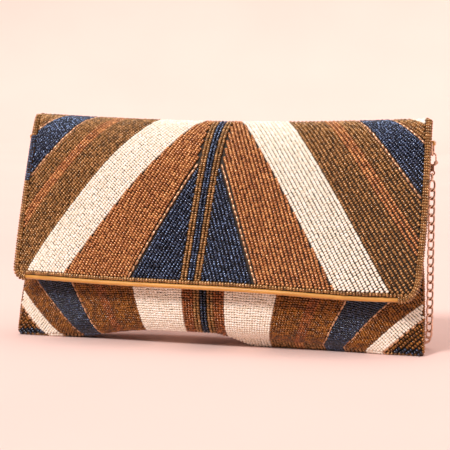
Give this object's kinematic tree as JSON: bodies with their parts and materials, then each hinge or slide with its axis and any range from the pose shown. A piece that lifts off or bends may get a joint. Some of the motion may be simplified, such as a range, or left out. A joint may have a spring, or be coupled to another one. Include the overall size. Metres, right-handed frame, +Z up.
{
  "type": "clutch purse",
  "caption": "Beaded envelope clutch with a fold-over flap, magnetic snap and a clip-on chain strap on side D-rings.",
  "frame": {"origin": "on the resting surface, under the middle of the bag without its chain", "axes": "+X to the bag's right as its flap faces the viewer, the flap faces -Y, +Z up"},
  "size_m": [0.281, 0.1321, 0.15],
  "materials": {
    "beadwork": "gloss",
    "ground_cloth": "matte",
    "stiffener": "matte",
    "satin": "satin",
    "rose_gold": "polished",
    "spring_steel": "polished",
    "chain": "polished"
  },
  "bodies": {
    "bag": {"front_beadwork": "beadwork", "front_cloth": "ground_cloth", "front_stiffener": "stiffener", "front_lining": "satin", "back_beadwork": "beadwork", "back_cloth": "ground_cloth", "back_stiffener": "stiffener", "back_lining": "satin", "inner_pocket": "satin", "fold_beadwork": "beadwork", "fold_lining": "satin", "mouth_piping": "satin", "snap_socket": "rose_gold", "snap_socket_washer": "rose_gold", "left_ring_tab": "satin", "right_ring_tab": "satin", "chain_strap": "chain"},
    "flap": {"flap_beadwork": "beadwork", "flap_cloth": "ground_cloth", "flap_stiffener": "stiffener", "flap_lining": "satin", "flap_piping": "satin", "snap_stud": "rose_gold", "snap_stud_washer": "rose_gold"},
    "right_chain_end": {"right_d_ring": "rose_gold", "right_clasp": "rose_gold", "right_clasp_pin": "rose_gold", "right_clasp_spring": "spring_steel", "right_jump_ring": "rose_gold"},
    "right_gate": {"right_clasp_gate": "rose_gold"},
    "left_chain_end": {"left_d_ring": "rose_gold", "left_clasp": "rose_gold", "left_clasp_pin": "rose_gold", "left_clasp_spring": "spring_steel", "left_jump_ring": "rose_gold"},
    "left_gate": {"left_clasp_gate": "rose_gold"}
  },
  "joints": [
    {"name": "flap_hinge", "type": "hinge", "parent": "bag", "child": "flap", "pos_m": [0, 0.0184, 0.15], "axis": [-1, 0, 0], "range_deg": [0, 180], "deforming": ["fold_beadwork", "fold_lining"]},
    {"name": "right_ring_hinge", "type": "hinge", "parent": "bag", "child": "right_chain_end", "pos_m": [0.137, 0.0154, 0.134], "axis": [0, -1, 0], "range_deg": [0, 45]},
    {"name": "right_gate_hinge", "type": "hinge", "parent": "right_chain_end", "child": "right_gate", "pos_m": [0.13925, 0.0154, 0.1218], "axis": [0, -1, 0], "range_deg": [0, 25], "stiffness_Nm_per_rad": 0.0004, "springref_deg": -20.05},
    {"name": "left_ring_hinge", "type": "hinge", "parent": "bag", "child": "left_chain_end", "pos_m": [-0.137, 0.0154, 0.134], "axis": [0, 1, 0], "range_deg": [0, 45]},
    {"name": "left_gate_hinge", "type": "hinge", "parent": "left_chain_end", "child": "left_gate", "pos_m": [-0.13925, 0.0154, 0.1218], "axis": [0, 1, 0], "range_deg": [0, 25], "stiffness_Nm_per_rad": 0.0004, "springref_deg": -20.05}
  ]
}
